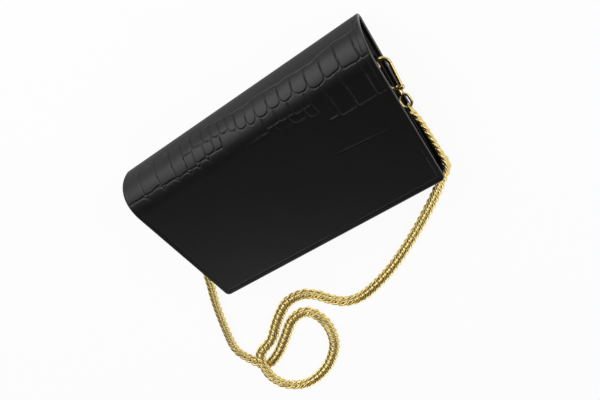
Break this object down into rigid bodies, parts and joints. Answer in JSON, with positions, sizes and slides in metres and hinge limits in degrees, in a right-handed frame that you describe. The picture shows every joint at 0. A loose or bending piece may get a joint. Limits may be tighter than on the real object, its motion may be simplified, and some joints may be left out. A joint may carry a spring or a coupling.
{
  "type": "shoulder bag",
  "caption": "Small flap shoulder bag on its back, black leather with a curved embossed flap, open gusset sides, and a woven chain strap held by swivel snap hooks.",
  "frame": {"origin": "middle of the back panel, on the surface that the bag lies on", "axes": "+X across the bag to its right side seen from the front, +Y up the bag from the foot to the fold, +Z out through the flap"},
  "size_m": [0.2557, 0.2478, 0.036],
  "materials": {
    "leather": "satin, embossed scales fading to smooth",
    "lining": "fine twill",
    "board": "plain stiffener",
    "gold": "polished gold tone",
    "steel": "plain",
    "chain": "polished gold tone"
  },
  "bodies": {
    "root": {"back_panel": "leather", "back_board": "board", "back_lining": "lining", "front_panel": "leather", "front_board": "board", "front_lining": "lining", "bottom_panel": "leather", "gusset_right": "leather", "gusset_left": "leather", "slip_pocket": "lining", "snap_socket": "gold", "front_washer": "steel", "tab_right": "leather", "tab_left": "leather", "swivel_eye_right": "gold", "swivel_eye_left": "gold", "end_link_right": "gold", "end_link_left": "gold", "chain": "chain"},
    "fold": {"fold_skin": "leather", "fold_lining": "lining"},
    "flap": {"flap_skin": "leather", "flap_board": "board", "flap_lining": "lining", "snap_stud": "gold", "flap_washer": "steel"},
    "ring_right": {"ring_right": "gold"},
    "hook_right": {"hook_right": "gold", "gate_pin_right": "gold"},
    "gate_right": {"gate_right": "gold"},
    "ring_left": {"ring_left": "gold"},
    "hook_left": {"hook_left": "gold", "gate_pin_left": "gold"},
    "gate_left": {"gate_left": "gold"}
  },
  "joints": [
    {"name": "fold_lift", "type": "hinge", "parent": "root", "child": "fold", "pos_m": [0, 0.0604, 0], "axis": [-1, 0, 0], "range_deg": [0, 72]},
    {"name": "flap_open", "type": "hinge", "parent": "fold", "child": "flap", "pos_m": [0, 0.05348, 0.02677], "axis": [-1, 0, 0], "range_deg": [0, 108]},
    {"name": "ring_swing_right", "type": "hinge", "parent": "root", "child": "ring_right", "pos_m": [0.09334, 0.0344, 0.017], "axis": [0, 0, 1], "range_deg": [-2, 12]},
    {"name": "hook_turn_right", "type": "hinge", "parent": "root", "child": "hook_right", "pos_m": [0.10128, 0.00761, 0.017], "axis": [0, 1, 0], "range_deg": [-14, 14]},
    {"name": "gate_push_right", "type": "hinge", "parent": "hook_right", "child": "gate_right", "pos_m": [0.09818, 0.00891, 0.017], "axis": [0, 0, -1], "range_deg": [0, 18], "stiffness_Nm_per_rad": 0.02},
    {"name": "ring_swing_left", "type": "hinge", "parent": "root", "child": "ring_left", "pos_m": [-0.09334, 0.0344, 0.017], "axis": [0, 0, -1], "range_deg": [-2, 12]},
    {"name": "hook_turn_left", "type": "hinge", "parent": "root", "child": "hook_left", "pos_m": [-0.10128, 0.00761, 0.017], "axis": [0, 1, 0], "range_deg": [-14, 14]},
    {"name": "gate_push_left", "type": "hinge", "parent": "hook_left", "child": "gate_left", "pos_m": [-0.09818, 0.00891, 0.017], "axis": [0, 0, 1], "range_deg": [0, 18], "stiffness_Nm_per_rad": 0.02}
  ],
  "couplings": [
    {"joint": "fold_lift", "follows": "flap_open", "ratio": 0.6666}
  ]
}
